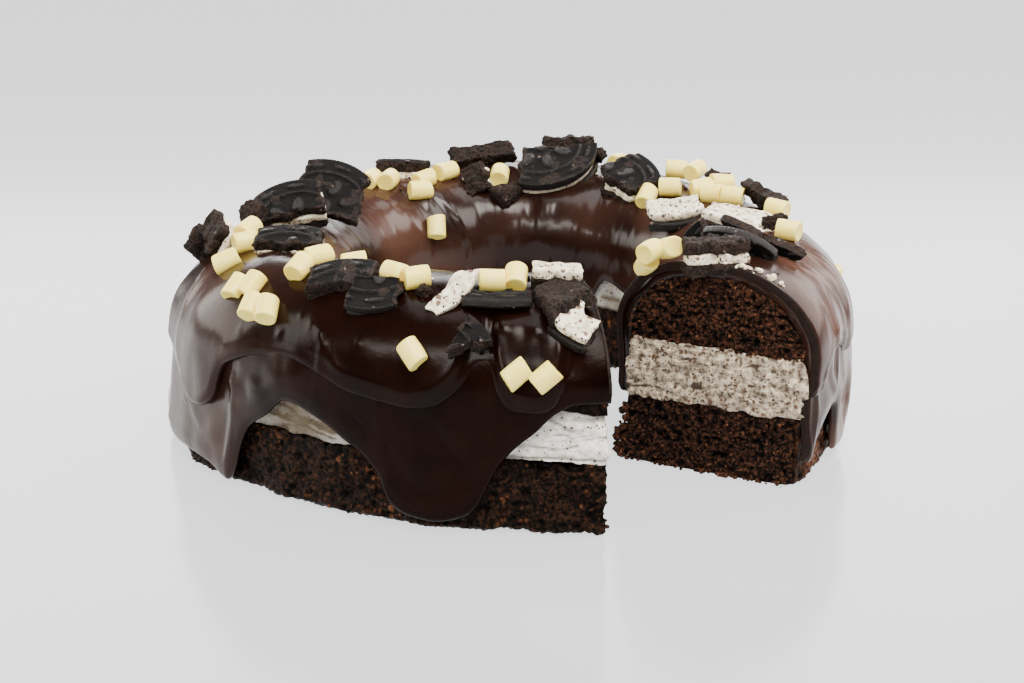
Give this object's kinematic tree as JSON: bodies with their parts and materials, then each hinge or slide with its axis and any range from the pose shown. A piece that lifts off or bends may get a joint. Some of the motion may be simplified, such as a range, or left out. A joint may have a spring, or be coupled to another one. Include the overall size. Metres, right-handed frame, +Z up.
{
  "type": "cookie bundt cake",
  "caption": "Ring-shaped layered chocolate cake with a slice cut out, a poured glossy glaze, and broken sandwich cookies and white chocolate barrels on its crest.",
  "frame": {"origin": "under the middle of the cake's box, on the surface that it stands on", "axes": "+Z up along the hole's axis; the slice was cut out between -Y and +X"},
  "size_m": [0.254, 0.2542, 0.0892],
  "materials": {
    "sponge": "crumbly, porous, matt",
    "cream": "soft, streaked with cookie crumbs",
    "glaze": "glossy poured chocolate",
    "wafer": "dark baked wafer, matt with a slight sheen",
    "cookie_cream": "smooth sweet cream, specked with crumbs",
    "white_chocolate": "satin white chocolate"
  },
  "bodies": {
    "root": {"lower_sponge": "sponge", "cream_filling": "cream", "upper_sponge": "sponge", "chocolate_glaze": "glaze", "crumb_far_left": "wafer", "ridged_piece_left": "wafer", "crumb_left_back": "wafer", "half_cookie_left": "wafer", "big_wafer_left": "wafer", "sandwich_left_front": "wafer", "wafer_behind_left": "wafer", "pile_front_left": "wafer", "pile_front_right": "wafer", "crumb_front": "wafer", "cream_flake_front": "cookie_cream", "wafer_front_edge": "wafer", "triangle_front_slope": "wafer", "cream_top_front_right": "cookie_cream", "cream_chunk_at_cut": "cookie_cream", "slab_front_right": "wafer", "slab_back": "wafer", "ridged_piece_back": "wafer", "lump_back": "wafer", "round_cookie_back": "wafer", "slab_behind_round": "wafer", "crumb_behind_round": "wafer", "round_cookie_right": "wafer", "cream_face_right": "cookie_cream", "wafer_end_back_right": "wafer", "long_wafer_back_right": "wafer", "cream_face_far_right": "cookie_cream", "small_curved_wafer": "wafer", "curved_wafer_on_edge": "wafer", "long_wafer_on_edge": "wafer", "crumb_far_right": "wafer", "sandwich_at_cut": "wafer", "barrel_right_side_high": "white_chocolate", "barrel_right_side_low": "white_chocolate", "barrels_left_back": "white_chocolate", "barrel_left_edge": "white_chocolate", "barrels_left_high": "white_chocolate", "barrels_left_slope": "white_chocolate", "barrels_back_left": "white_chocolate", "barrels_back": "white_chocolate", "barrel_back_mid": "white_chocolate", "barrel_in_hole_side": "white_chocolate", "barrel_behind_pile": "white_chocolate", "barrels_front_left": "white_chocolate", "barrel_front_slope_left": "white_chocolate", "barrel_front_slope_mid": "white_chocolate", "barrel_front_slope_right": "white_chocolate", "barrels_front": "white_chocolate", "barrel_back_end": "white_chocolate", "barrel_back_right": "white_chocolate", "barrels_right_back": "white_chocolate", "barrels_right_inner": "white_chocolate", "barrels_right_heap": "white_chocolate", "barrel_far_right": "white_chocolate", "barrel_far_right_edge": "white_chocolate", "barrels_at_cut": "white_chocolate"}
  },
  "joints": []
}
